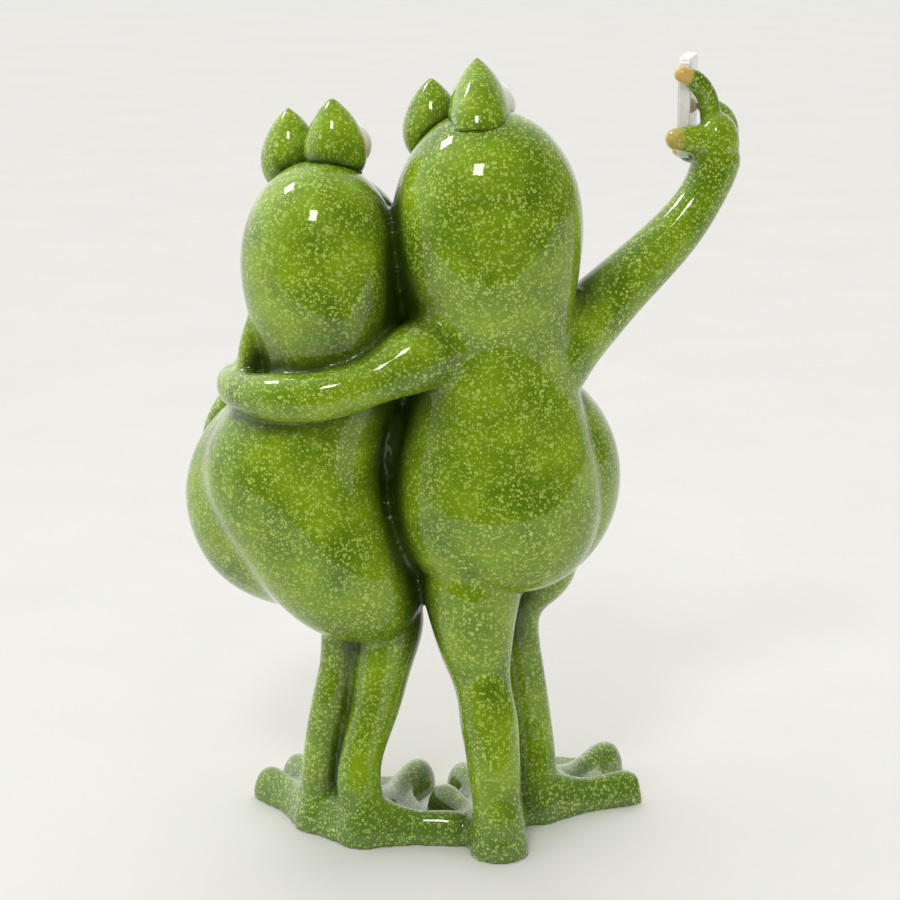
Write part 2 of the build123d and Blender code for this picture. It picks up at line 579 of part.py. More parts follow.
def add_legs(nodes, paths):
    tall = nodes["tall_frog_body"]
    small = nodes["small_frog_body"]
    tall_left, tall_right, small_left, small_right = paths
    tall_left_foot = foot(tall_left[-1], TALL_LEFT_TOE_TURNS_DEG, TALL_LEFT_TOE_SHARES)
    tall_right_foot = foot(tall_right[-1], TALL_RIGHT_TOE_TURNS_DEG, TALL_RIGHT_TOE_SHARES) - tall_left_foot
    small_right_foot = foot(small_right[-1], SMALL_RIGHT_TOE_TURNS_DEG, SMALL_RIGHT_TOE_SHARES)
    small_right_foot = small_right_foot + heel_bar(small_left[-1], small_right[-1]) - tall_left_foot
    small_left_foot = foot(small_left[-1], SMALL_LEFT_TOE_TURNS_DEG, SMALL_LEFT_TOE_SHARES) - small_right_foot
    tall_left_leg = limb(tall_left, TALL_LEG_RADII, FORWARD) - tall - small
    tall_right_leg = limb(tall_right, BENT_LEG_RADII, FORWARD) - tall - tall_left_leg
    small_right_leg = limb(small_right, SMALL_LEG_RADII, FORWARD) - tall - small
    small_left_leg = limb(small_left, SLIM_LEG_RADII, FORWARD) - small - small_right_leg
    nodes["tall_left_foot"] = tall_left_foot
    nodes["tall_right_foot"] = tall_right_foot
    nodes["small_right_foot"] = small_right_foot
    nodes["small_left_foot"] = small_left_foot
    nodes["tall_left_leg"] = largest(tall_left_leg - tall_left_foot - tall_right_foot - small_right_foot)
    nodes["tall_right_leg"] = largest(tall_right_leg - tall_right_foot - tall_left_foot)
    nodes["small_right_leg"] = largest(small_right_leg - small_right_foot - small_left_foot)
    nodes["small_left_leg"] = largest(small_left_leg - small_left_foot - small_right_foot)


def add_wires(nodes, paths):
    # Each wire starts in its body, runs down its limb and fills the bore that it was cast into.
    arm = raised_path()
    raised_wire = wire([arm[0], arm[3], arm[-1]])
    hug_wire = wire(hug_path()[:-1])
    nodes["arm_wires"] = Compound([raised_wire, hug_wire])
    bored = [("tall_frog_body", raised_wire), ("raised_arm", raised_wire)]
    bored += [("tall_frog_body", hug_wire), ("hugging_arm", hug_wire)]
    leg_wires = [wire([points[0], points[2], points[-1]]) for points in paths]
    nodes["leg_wires"] = Compound(leg_wires)
    for leg, leg_wire in zip(("tall_left", "tall_right", "small_left", "small_right"), leg_wires):
        frog = leg.split("_")[0]
        bored += [(name, leg_wire) for name in (f"{frog}_frog_body", f"{leg}_leg", f"{leg}_foot")]
    bored.append(("small_right_foot", leg_wires[2]))
    for name, core in bored:
        nodes[name] = nodes[name] - core


def figure():
    nodes = {}
    tall = tall_forms()
    small = small_forms()
    add_bodies(nodes, tall, small)
    tall_eyes = (TALL_HEAD, TALL_CROWN_Z, TALL_EYE_FORWARD, TALL_EYE_SIDE, TALL_LID_SINK, TALL_LID_DROP)
    add_eyes(nodes, "tall", tall, tall_eyes)
    small_eyes = (
        SMALL_HEAD, SMALL_CROWN_Z, SMALL_EYE_FORWARD, SMALL_EYE_SIDE, SMALL_LID_SINK, SMALL_LID_DROP,
    )
    add_eyes(nodes, "small", small, small_eyes)
    add_arms(nodes)
    tall_legs = (TALL_LEFT_LEG_SHARES, TALL_RIGHT_LEG_SHARES)
    small_legs = (SMALL_LEFT_LEG_SHARES, SMALL_RIGHT_LEG_SHARES)
    paths = [path(TALL_SEAT, TALL_SPANS, shares) for shares in tall_legs]
    paths += [path(SMALL_SEAT, SMALL_SPANS, shares) for shares in small_legs]
    add_legs(nodes, paths)
    add_wires(nodes, paths)
    return nodes


nodes = figure()
box = Compound(list(nodes.values())).bounding_box()
middle = Vector(box.center().X, box.center().Y, box.min.Z)
os.makedirs("parts", exist_ok=True)
for name, shape in nodes.items():
    print(name, len(shape.solids()), round(shape.volume), shape.is_valid)
    export_step(Pos(-middle) * shape, f"parts/{name}.step")
print("moved by", -middle)
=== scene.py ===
# %% [markdown]
# # Two hugging frogs in lacquered resin
#
# The figurine is a pair of frogs that turn their backs to us: the tall one lays an arm round the
# small one and holds a phone up. Such a figure is cast in resin, painted green, spattered with a
# pale paint and dipped in clear lacquer. The CAD solids have its sizes and places, so this lesson
# takes their surfaces, works them as a sculptor smooths wax, and then paints them.

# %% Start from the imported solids
import math

import bpy
import numpy as np
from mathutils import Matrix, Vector
from mathutils.bvhtree import BVHTree
from mathutils.kdtree import KDTree


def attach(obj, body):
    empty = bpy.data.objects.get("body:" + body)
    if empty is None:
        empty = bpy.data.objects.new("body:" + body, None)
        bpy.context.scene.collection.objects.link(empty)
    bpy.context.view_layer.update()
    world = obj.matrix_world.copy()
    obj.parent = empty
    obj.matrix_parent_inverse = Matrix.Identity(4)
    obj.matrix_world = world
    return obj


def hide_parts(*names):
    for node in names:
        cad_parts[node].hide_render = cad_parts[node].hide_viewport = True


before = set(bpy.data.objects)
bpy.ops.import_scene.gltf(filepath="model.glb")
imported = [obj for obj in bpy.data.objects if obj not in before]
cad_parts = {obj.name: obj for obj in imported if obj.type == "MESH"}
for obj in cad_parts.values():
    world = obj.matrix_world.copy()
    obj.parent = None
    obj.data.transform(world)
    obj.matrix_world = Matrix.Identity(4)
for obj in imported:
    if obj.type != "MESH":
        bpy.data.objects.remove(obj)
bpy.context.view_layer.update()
MM = 0.001

# %% [markdown]
# ## A few habits of the hand
#
# Blender's operators act on whatever is selected, so every step first selects its own object and
# nothing else. A modifier is set and applied at once, which keeps each piece a plain mesh. A copy of
# a CAD node comes as loose triangles, and welding their corners makes it one shell.

# %% Selecting, modifying and copying
WELD = 0.001 * MM


def pick(*objs):
    if bpy.context.mode != "OBJECT":
        bpy.ops.object.mode_set(mode="OBJECT")
    bpy.ops.object.select_all(action="DESELECT")
    for obj in objs:
        obj.select_set(True)
    bpy.context.view_layer.objects.active = objs[0]


def modify(obj, kind, **settings):
    pick(obj)
    modifier = obj.modifiers.new(kind.title(), kind)
    for name, value in settings.items():
        setattr(modifier, name, value)
    bpy.ops.object.modifier_apply(modifier=modifier.name)


def welded_copy(node):
    obj = bpy.data.objects.new(node + "_copy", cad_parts[node].data.copy())
    bpy.context.scene.collection.objects.link(obj)
    pick(obj)
    bpy.ops.object.mode_set(mode="EDIT")
    bpy.ops.mesh.select_all(action="SELECT")
    bpy.ops.mesh.remove_doubles(threshold=WELD)
    bpy.ops.object.mode_set(mode="OBJECT")
    return obj


def places(obj):
    values = np.empty(3 * len(obj.data.vertices))
    obj.data.vertices.foreach_get("co", values)
    return values.reshape(-1, 3)


def put(obj, points):
    obj.data.vertices.foreach_set("co", points.ravel())
    obj.data.update()


def outward(obj):
    values = np.empty(3 * len(obj.data.vertices))
    obj.data.vertex_normals.foreach_get("vector", values)
    return values.reshape(-1, 3)


print("weld distance in mm:", WELD / MM)

# %% [markdown]
# ## One skin over the pair
#
# The pair is one casting, with no gap where a limb leaves a body or an arm lies on a back: the wax
# was one surface before it was moulded. Joined copies of the solids would still show every seam. A
# voxel remesh throws a fine net over all of them at once, and only its outer shell is kept. A pinch
# of wax first closes the slit between the two backs.
# Smoothing alone would shrink the thin fingers, so each step of it is followed by a step back.

# %% Throw the net
SKIN_GRAIN = 0.8 * MM
SKIN_ROUNDS = 8
WAX_BETWEEN_MM = (((-17.6, -5.5, 109.0), (4.0, 8.0, 15.0)),)
CASTINGS = (
    "tall_frog_body", "raised_arm", "hugging_arm",
    "tall_left_leg", "tall_right_leg", "tall_left_foot", "tall_right_foot",
    "small_frog_body", "small_left_arm", "small_right_arm",
    "small_left_leg", "small_right_leg", "small_left_foot", "small_right_foot",
)


def outer_shell(obj):
    pick(obj)
    bpy.ops.object.mode_set(mode="EDIT")
    bpy.ops.mesh.select_all(action="SELECT")
    bpy.ops.mesh.separate(type="LOOSE")
    bpy.ops.object.mode_set(mode="OBJECT")
    shells = sorted(bpy.context.selected_objects, key=lambda shell: shell.dimensions.length)
    outer = shells.pop()
    if shells:
        pick(*shells)
        bpy.ops.object.delete()
    return outer


def even_out(obj, rounds):
    for _ in range(rounds):
        modify(obj, "SMOOTH", factor=0.5, iterations=1)
        modify(obj, "SMOOTH", factor=-0.53, iterations=1)


def wax_between(place_mm, radii_mm):
    bpy.ops.mesh.primitive_uv_sphere_add(segments=24, ring_count=16, radius=MM, location=Vector(place_mm) * MM)
    bpy.context.object.scale = radii_mm
    bpy.ops.object.transform_apply(location=True, rotation=True, scale=True)
    return bpy.context.object


def thrown_skin(name, nodes, grain, rounds, fillings=()):
    copies = [welded_copy(node) for node in nodes] + [wax_between(*filling) for filling in fillings]
    pick(*copies)
    bpy.ops.object.join()
    skin = bpy.context.object
    modify(skin, "REMESH", mode="VOXEL", voxel_size=grain, use_smooth_shade=True)
    skin = outer_shell(skin)
    skin.name = name
    even_out(skin, rounds)
    print(name, "has", len(skin.data.polygons), "faces")
    return skin


skin = thrown_skin("pair_skin", CASTINGS, SKIN_GRAIN, SKIN_ROUNDS, WAX_BETWEEN_MM)

# %% [markdown]
# ## Whose skin is it
#
# Every point of the skin belongs to the casting whose solid lies nearest. The tools that follow use
# that, to work on one casting and leave its neighbour alone.

# %% Find each point's casting
def nearest_casting(points):
    tree = KDTree(sum(len(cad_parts[node].data.vertices) for node in CASTINGS))
    for number, node in enumerate(CASTINGS):
        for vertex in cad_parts[node].data.vertices:
            tree.insert(vertex.co, number)
    tree.balance()
    return np.array([tree.find(point)[1] for point in points], np.int32)


owners = nearest_casting(places(skin))
print("points to a casting:", np.bincount(owners).tolist())

# %% [markdown]
# ## Limbs that grow out of the bodies
#
# At the shoulders and ankles the modeller pulled the wax over with a thumb, so the limb flows into
# what carries it, while under the thighs the crease stayed crisp. The small frog's left flank was
# rubbed flat too, and there its back runs into its belly. A vertex group round each of those places
# lets a Smooth modifier soften them and leave the rest alone. Last, the soles are pressed flat on the
# bench.

# %% Thumb the wax over
ROOTS_MM = (
    ((-12.0, -22.0, 135.0), 19.0), ((31.0, -2.0, 138.0), 20.0),
    ((11.0, -28.0, 12.0), 14.0), ((21.0, -3.0, 12.0), 13.0),
    ((-26.0, -18.0, 12.0), 13.0), ((-38.0, -9.0, 12.0), 12.0), ((0.0, -22.0, 6.0), 11.0),
)
ROOT_ROUNDS = 30
FLANK_ROUNDS = 320
FLANK_MM = (((-66.0, 2.0, 104.0), 21.0), ((-64.0, 2.0, 86.0), 22.0), ((-54.0, 2.0, 69.0), 20.0))


def soften(obj, soft_places, rounds, allowed):
    points = places(obj)
    weights = np.zeros(len(points))
    for center_mm, reach_mm in soft_places:
        gaps = np.linalg.norm(points - np.array(center_mm) * MM, axis=1) / (reach_mm * MM)
        weights = np.maximum(weights, 1 - gaps ** 2)
    group = obj.vertex_groups.new(name="soft")
    for index in np.flatnonzero((weights > 0) & allowed):
        group.add([int(index)], float(weights[index]), "REPLACE")
    modify(obj, "SMOOTH", factor=0.5, iterations=rounds, vertex_group="soft")
    obj.vertex_groups.clear()


def stand(obj):
    points = places(obj)
    points[:, 2] = np.maximum(points[:, 2], 0)
    put(obj, points)


soften(skin, ROOTS_MM, ROOT_ROUNDS, owners >= 0)
soften(skin, FLANK_MM, FLANK_ROUNDS, owners == CASTINGS.index("small_frog_body"))
stand(skin)
print("softened", len(ROOTS_MM), "roots and a flank")

# %% [markdown]
# ## Faces
#
# The photograph shows only backs, so the faces are what frog ornaments of this kind have: a wide
# smile pressed into the snout and two nostrils. Both are pressed in along the surface's own normals,
# which is what a loop tool does to wax. Each head turns towards the phone, so the face is measured
# in the head's own directions: ahead and aside.

# %% Press in the mouths and nostrils
HEAD_TURN = math.radians(40)
AHEAD = np.array((math.sin(HEAD_TURN), math.cos(HEAD_TURN), 0))
ASIDE = np.array((math.cos(HEAD_TURN), -math.sin(HEAD_TURN), 0))
TALL_SNOUT_MM = (7.2, 8.6, 173.5)
SMALL_SNOUT_MM = (-34.1, 6.7, 163.0)
TALL_MOUTH_HALF_MM = 18.0
SMALL_MOUTH_HALF_MM = 16.0
MOUTH_DROP_MM = 6.0
SMILE_RISE_MM = 9.0
MOUTH_GROOVE_MM = 0.9
MOUTH_DEPTH_MM = 0.9
NOSTRIL_ASIDE_MM = 3.6
NOSTRIL_RISE_MM = 4.0
NOSTRIL_RADIUS_MM = 1.1
FACE_REACH_MM = 26.0


def face_line(points, snout_mm, half_mm):
    """How strongly each point belongs to the mouth or a nostril, from 0 to 1."""
    reach = points / MM - np.array(snout_mm)
    ahead, aside, up = reach @ AHEAD, reach @ ASIDE, reach[:, 2]
    smile = SMILE_RISE_MM * (aside / half_mm) ** 2 - MOUTH_DROP_MM
    ends = np.clip((half_mm - np.abs(aside)) / MOUTH_GROOVE_MM / 2, 0, 1)
    mouth = np.exp(-((up - smile) / MOUTH_GROOVE_MM) ** 2) * ends
    gap = np.hypot(np.abs(aside) - NOSTRIL_ASIDE_MM, up - NOSTRIL_RISE_MM)
    nostrils = np.exp(-(gap / NOSTRIL_RADIUS_MM) ** 2)
    near = np.linalg.norm(reach, axis=1) < FACE_REACH_MM
    return np.maximum(mouth, nostrils) * (ahead > 0) * near


def press(obj, weights, depth_mm):
    put(obj, places(obj) - outward(obj) * (weights * depth_mm * MM)[:, None])


def store(obj, name, weights):
    layer = obj.data.attributes.get(name) or obj.data.attributes.new(name, "FLOAT", "POINT")
    layer.data.foreach_set("value", weights.astype(np.float32))


tall_face = face_line(places(skin), TALL_SNOUT_MM, TALL_MOUTH_HALF_MM)
small_face = face_line(places(skin), SMALL_SNOUT_MM, SMALL_MOUTH_HALF_MM)
press(skin, np.maximum(tall_face, small_face), MOUTH_DEPTH_MM)
store(skin, "line", np.maximum(tall_face, small_face))
print("pressed two mouths and four nostrils")

# %% [markdown]
# ## Paint masks
#
# A dark wash is brushed on before the lacquer, and a rag takes it off wherever it reaches: it stays
# in the creases and between the frogs. The same mask also paints in the shade that falls there, so
# it is part wash and part painted shade. From each point a fan of feelers is sent out, and the share
# that soon meets the figure again says how closed in the point is. Averaging over neighbours blurs
# the mask, which is stored on the points, and the material reads it by name.

# %% Feel for the closed-in places
FEELERS = 18
FEELER_MM = 16.0
FEELER_LIFT_MM = 0.3
BLUR_ROUNDS = 8


def fan(count):
    """Directions spread evenly over a ball, one golden turn after the other."""
    steps = (np.arange(count) + 0.5) / count
    turns = np.arange(count) * math.pi * (3 - math.sqrt(5))
    level = 1 - 2 * steps
    ring = np.sqrt(1 - level ** 2)
    return [Vector(way) for way in np.stack((ring * np.cos(turns), ring * np.sin(turns), level), axis=1)]


def closed_in(obj, figure):
    tree = BVHTree.FromObject(figure, bpy.context.evaluated_depsgraph_get())
    ways = fan(FEELERS)
    shares = np.empty(len(obj.data.vertices))
    for vertex in obj.data.vertices:
        start = vertex.co + vertex.normal * (FEELER_LIFT_MM * MM)
        met = 0
        for way in ways:
            out = way if way.dot(vertex.normal) > 0 else -way
            met += tree.ray_cast(start, out, FEELER_MM * MM)[0] is not None
        shares[vertex.index] = met / FEELERS
    return shares


def blurred(obj, values):
    edges = np.empty(2 * len(obj.data.edges), np.int32)
    obj.data.edges.foreach_get("vertices", edges)
    start, end = edges.reshape(-1, 2).T
    neighbours = np.bincount(edges, minlength=len(values))
    for _ in range(BLUR_ROUNDS):
        values = np.bincount(start, values[end], len(values)) + np.bincount(end, values[start], len(values))
        values = values / neighbours
    return values


# Part wash, part painted shade: dark in the creases, under the arms and between the frogs.
store(skin, "wash_and_painted_shade", blurred(skin, closed_in(skin, skin)))
print("felt round", len(skin.data.vertices), "points")

# %% [markdown]
# ## Where the paint goes
#
# The fronts of the bodies are paler than the backs, and the finger and toe tips are touched with
# gold. The toe tips follow from each heel's place, and each toe's turn and length, as in the solid.

# %% Mask the fronts and the tips
PALE_FROM, PALE_FULL = 0.3, 0.85
GOLD_TOE_MM = 5.6
GOLD_FINGER_MM = 3.2
NECK_BLEND_MM = 12.0
NECKS_MM = {"tall_frog_body": 142.0, "small_frog_body": 132.0}
HEELS_MM = {
    "tall_left_foot": (10.8, -29.1), "tall_right_foot": (21.2, -2.9),
    "small_left_foot": (-37.6, -9.5), "small_right_foot": (-25.9, -19.4),
}
TOES_DEG_MM = {
    "tall_left_foot": ((-28, 34.4), (-12, 48.8), (12, 40.0)),
    "tall_right_foot": ((3, 40.0), (32, 43.6), (67, 31.2)),
    "small_left_foot": ((-37, 28.8), (-15, 35.2), (5, 36.0)),
    "small_right_foot": ((-2, 40.0), (21, 43.2)),
}
TOE_END_MM = 3.5
TOE_TIP_RISE_MM = 3.0
FINGER_TIPS_MM = {
    "raised_arm": ((58.6, 8.4, 204.3), (66.0, 23.6, 194.0), (59.3, 20.2, 182.9), (57.4, 7.9, 187.3)),
    "hugging_arm": ((-49.2, 6.9, 121.0), (-49.2, 6.9, 127.0), (-49.2, 6.9, 133.0)),
    "small_left_arm": ((-41.8, 27.2, 81.0), (-41.6, 28.4, 93.3), (-41.9, 25.9, 105.2)),
    "small_right_arm": ((17.3, 28.4, 87.8), (17.4, 28.9, 100.7), (16.7, 25.7, 113.0)),
}


def toe_tips(foot):
    heel_x, heel_y = HEELS_MM[foot]
    tips = []
    for turn, length in TOES_DEG_MM[foot]:
        angle, reach = math.radians(turn), length + TOE_END_MM
        tips.append((heel_x + reach * math.sin(angle), heel_y + reach * math.cos(angle), TOE_TIP_RISE_MM))
    return tips


def gilded(points, tips, radius_mm):
    gaps = [np.linalg.norm(points / MM - np.array(tip), axis=1) for tip in tips]
    return np.clip(1.5 * (1.3 - np.min(gaps, axis=0) / radius_mm), 0, 1)


def fronts(points, normals, neck_mm):
    head = np.clip((points[:, 2] / MM - neck_mm) / NECK_BLEND_MM + 0.5, 0, 1)
    facing = normals @ AHEAD * head + normals[:, 1] * (1 - head)
    return np.clip((facing - PALE_FROM) / (PALE_FULL - PALE_FROM), 0, 1)


points, normals = places(skin), outward(skin)
pale, gold = np.zeros(len(points)), np.zeros(len(points))
for number, node in enumerate(CASTINGS):
    own = owners == number
    if node in NECKS_MM:
        pale[own] = fronts(points, normals, NECKS_MM[node])[own]
    if node in HEELS_MM:
        gold[own] = gilded(points, toe_tips(node), GOLD_TOE_MM)[own]
    if node in FINGER_TIPS_MM:
        gold[own] = gilded(points, FINGER_TIPS_MM[node], GOLD_FINGER_MM)[own]
store(skin, "pale", blurred(skin, pale))
store(skin, "gold", gold)
print("masked", len(NECKS_MM), "fronts,", len(HEELS_MM), "feet and", len(FINGER_TIPS_MM), "hands")

# %% [markdown]
# ## From one skin to separate castings
#
# The library wants every casting as a piece of its own, so each one's faces are separated from the
# skin. Solidify then gives the open patch a wall that grows inwards and closes it, like the wall of a
# hollow casting. The skin's normals are kept from before the cut, so the light runs on across every
# joint.

# %% Cut the skin apart
WALL = 1.0 * MM
pieces = {}


def separate_faces(skin, chosen):
    mesh = skin.data
    mesh.vertices.foreach_set("select", np.zeros(len(mesh.vertices), bool))
    mesh.edges.foreach_set("select", np.zeros(len(mesh.edges), bool))
    mesh.polygons.foreach_set("select", chosen)
    pick(skin)
    bpy.context.tool_settings.mesh_select_mode = (False, False, True)
    bpy.ops.object.mode_set(mode="EDIT")
    bpy.ops.mesh.separate(type="SELECTED")
    bpy.ops.object.mode_set(mode="OBJECT")
    return next(obj for obj in bpy.context.selected_objects if obj != skin)


def wall_up(piece):
    outer = len(piece.data.vertices)
    modify(piece, "SOLIDIFY", thickness=WALL, offset=-1.0, use_rim=True)
    kept = np.empty(3 * len(piece.data.vertices))
    piece.data.attributes["skin_normal"].data.foreach_get("vector", kept)
    kept = kept.reshape(-1, 3)
    kept[outer:] *= -1
    piece.data.shade_smooth()
    piece.data.normals_split_custom_set_from_vertices(kept.tolist())
    piece.data.attributes.remove(piece.data.attributes["skin_normal"])
    piece.data.attributes.remove(piece.data.attributes["owner"])


first_corners = np.array([face.vertices[0] for face in skin.data.polygons])
skin.data.attributes.new("owner", "INT", "FACE").data.foreach_set("value", owners[first_corners])
layer = skin.data.attributes.new("skin_normal", "FLOAT_VECTOR", "POINT")
layer.data.foreach_set("vector", normals.ravel().astype(np.float32))
for number, node in enumerate(CASTINGS):
    owner = np.empty(len(skin.data.polygons), np.int32)
    skin.data.attributes["owner"].data.foreach_get("value", owner)
    last = number == len(CASTINGS) - 1
    pieces[node] = skin if last else separate_faces(skin, owner == number)
    pieces[node].name = node + "_skin"
for node, piece in pieces.items():
    wall_up(piece)
    print(piece.name, len(piece.data.polygons), "faces")

# %% [markdown]
# ## Eyelids and eyeballs
#
# The lids are buds pressed on to the heads, and the line round their foot stays crisp, so each is
# smoothed by itself. A finer net keeps the pointed tip. The eyeballs peep out in front of the lids,
# and the painter ran a warm line round them, which is measured here as nearness to the eyeball. The
# tall frog's right lid sits furthest back, so its lower back is drawn over the crown.

# %% Smooth the lids
LID_GRAIN = 0.45 * MM
LID_ROUNDS = 5
RIM_WIDTH_MM = 1.3
LID_HEIGHT_MM = 20.0
LID_DEPTH_MM = 8.0
TALL_LID_FOOT_MM = (5.5, -3.6, 190.5)
TALL_LID_BACK_MM = 9.5
TALL_LID_DOWN_MM = 5.0
EYES = ("tall_right", "tall_left", "small_right", "small_left")


def pull_back(lid, center_mm, back_mm, down_mm):
    """Draw the lid's lower back over the crown; its front and its tip stay."""
    points = places(lid)
    back = np.clip((center_mm[1] - points[:, 1] / MM) / LID_DEPTH_MM + 0.3, 0, 1)
    low = np.clip((center_mm[2] + LID_HEIGHT_MM - points[:, 2] / MM) / LID_HEIGHT_MM, 0, 1)
    points[:, 1] -= back_mm * MM * back * low * (2 - low)
    points[:, 2] -= down_mm * MM * back * low
    put(lid, points)


def nearness(obj, node, width_mm):
    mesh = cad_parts[node].data
    tree = KDTree(len(mesh.vertices))
    for vertex in mesh.vertices:
        tree.insert(vertex.co, vertex.index)
    tree.balance()
    gaps = np.array([tree.find(vertex.co)[2] for vertex in obj.data.vertices])
    return np.clip(1.5 - gaps / (width_mm * MM), 0, 1)


for eye in EYES:
    lid = thrown_skin(eye + "_eyelid_skin", (eye + "_eyelid",), LID_GRAIN, LID_ROUNDS)
    if eye == "tall_right":
        pull_back(lid, TALL_LID_FOOT_MM, TALL_LID_BACK_MM, TALL_LID_DOWN_MM)
    # Part wash, part painted shade where the lid's foot meets the head.
    store(lid, "wash_and_painted_shade", blurred(lid, closed_in(lid, pieces[eye.split("_")[0] + "_frog_body"])))
    store(lid, "rim", nearness(lid, eye + "_eyeball", RIM_WIDTH_MM))
    lid.data.shade_smooth()
    pieces[eye + "_eyelid"] = lid
    ball = thrown_skin(eye + "_eyeball_skin", (eye + "_eyeball",), LID_GRAIN, LID_ROUNDS)
    ball.data.shade_smooth()
    pieces[eye + "_eyeball"] = ball

# %% [markdown]
# ## Lacquered paint
#
# The green is a resin paint in two close shades, darkened in the hollows and between the frogs by a
# wash and by painted shade, spattered with a pale yellow-green from a stiff brush and sealed with
# clear lacquer. The feet are a duller green. Spatter comes in drops of up to 0.9 mm with some of up
# to 1.5 mm, so two Voronoi patterns are used: each cell has one drop, whose size, presence and
# thickness come from the cell's random colour. The lacquer is a coat over the paint.

# %% Colours, nodes and the green paint
# A drop's row: spacing, least and largest radius in mm, and the share of cells that have one.
FINE_DROPS = (0.7, 0.12, 0.47, 0.9)
LARGE_DROPS = (1.7, 0.2, 0.75, 0.45)
DROP_RISE_MM = 0.05
SHADE_MM = 13.0
THIN_SPATTER_MM = 9.0
FEET_FADE_MM = (3.0, 22.0)


def linear(code):
    channels = [int(code[start:start + 2], 16) / 255 for start in (1, 3, 5)]
    return [c / 12.92 if c <= 0.04045 else ((c + 0.055) / 1.055) ** 2.4 for c in channels] + [1.0]


def add(tree, kind, inputs=None, **settings):
    made = tree.nodes.new(kind)
    for name, value in settings.items():
        setattr(made, name, value)
    for socket, value in (inputs or {}).items():
        if isinstance(value, bpy.types.NodeSocket):
            tree.links.new(value, made.inputs[socket])
        else:
            made.inputs[socket].default_value = value
    return made


def blank(name):
    material = bpy.data.materials.new(name)
    material.use_nodes = True
    tree = material.node_tree
    return material, tree, tree.nodes["Principled BSDF"]


def over(tree, under, top, amount):
    inputs = {0: amount, 6: under, 7: top}
    return add(tree, "ShaderNodeMix", inputs, data_type="RGBA").outputs[2]


def mask(tree, name, low, high):
    value = add(tree, "ShaderNodeAttribute", attribute_name=name).outputs["Fac"]
    inputs = {"Value": value, "From Min": low, "From Max": high}
    return add(tree, "ShaderNodeMapRange", inputs, interpolation_type="SMOOTHSTEP").outputs["Result"]


def spatter(tree, coords, spacing_mm, small_mm, large_mm, kept_share):
    """One drop to a cell: its random red is the drop's size, green whether it is there, blue how thick."""
    inputs = {"Vector": coords, "Scale": 1 / (spacing_mm * MM)}
    cells = add(tree, "ShaderNodeTexVoronoi", inputs)
    lots = add(tree, "ShaderNodeSeparateColor", {"Color": cells.outputs["Color"]})
    inputs = {"Value": lots.outputs["Red"], "To Min": small_mm / spacing_mm, "To Max": large_mm / spacing_mm}
    edge = add(tree, "ShaderNodeMapRange", inputs).outputs["Result"]
    inputs = {0: edge, 1: cells.outputs["Distance"]}
    inside = add(tree, "ShaderNodeMath", inputs, operation="SUBTRACT").outputs[0]
    inputs = {"Value": inside, "From Min": 0.0, "From Max": 0.12}
    drop = add(tree, "ShaderNodeMapRange", inputs, interpolation_type="SMOOTHSTEP").outputs["Result"]
    kept = add(tree, "ShaderNodeMath", {0: lots.outputs["Green"], 1: kept_share}, operation="LESS_THAN")
    thick = add(tree, "ShaderNodeMapRange", {"Value": lots.outputs["Blue"], "To Min": 0.45}).outputs["Result"]
    drop = add(tree, "ShaderNodeMath", {0: drop, 1: thick}, operation="MULTIPLY").outputs[0]
    return add(tree, "ShaderNodeMath", {0: drop, 1: kept.outputs[0]}, operation="MULTIPLY").outputs[0]


def clouds(tree, coords, size_mm, low, high):
    noise = add(tree, "ShaderNodeTexNoise", {"Vector": coords, "Scale": 1 / (size_mm * MM), "Detail": 3.0})
    inputs = {"Value": noise.outputs["Fac"], "From Min": low, "From Max": high}
    return add(tree, "ShaderNodeMapRange", inputs).outputs["Result"]


def lacquer(shader):
    """Clear lacquer dries to a hard smooth film that mirrors the lights over the duller paint."""
    shader.inputs["Roughness"].default_value = 0.45
    shader.inputs["Specular IOR Level"].default_value = 0.1
    shader.inputs["Coat Weight"].default_value = 1.0
    shader.inputs["Coat Roughness"].default_value = 0.02
    shader.inputs["Coat IOR"].default_value = 1.5


def rising(tree, coords, low_mm, high_mm):
    """0 up to the low height, 1 from the high one."""
    height = add(tree, "ShaderNodeSeparateXYZ", {0: coords}).outputs["Z"]
    inputs = {"Value": height, "From Min": low_mm * MM, "From Max": high_mm * MM}
    return add(tree, "ShaderNodeMapRange", inputs, interpolation_type="SMOOTHSTEP").outputs["Result"]


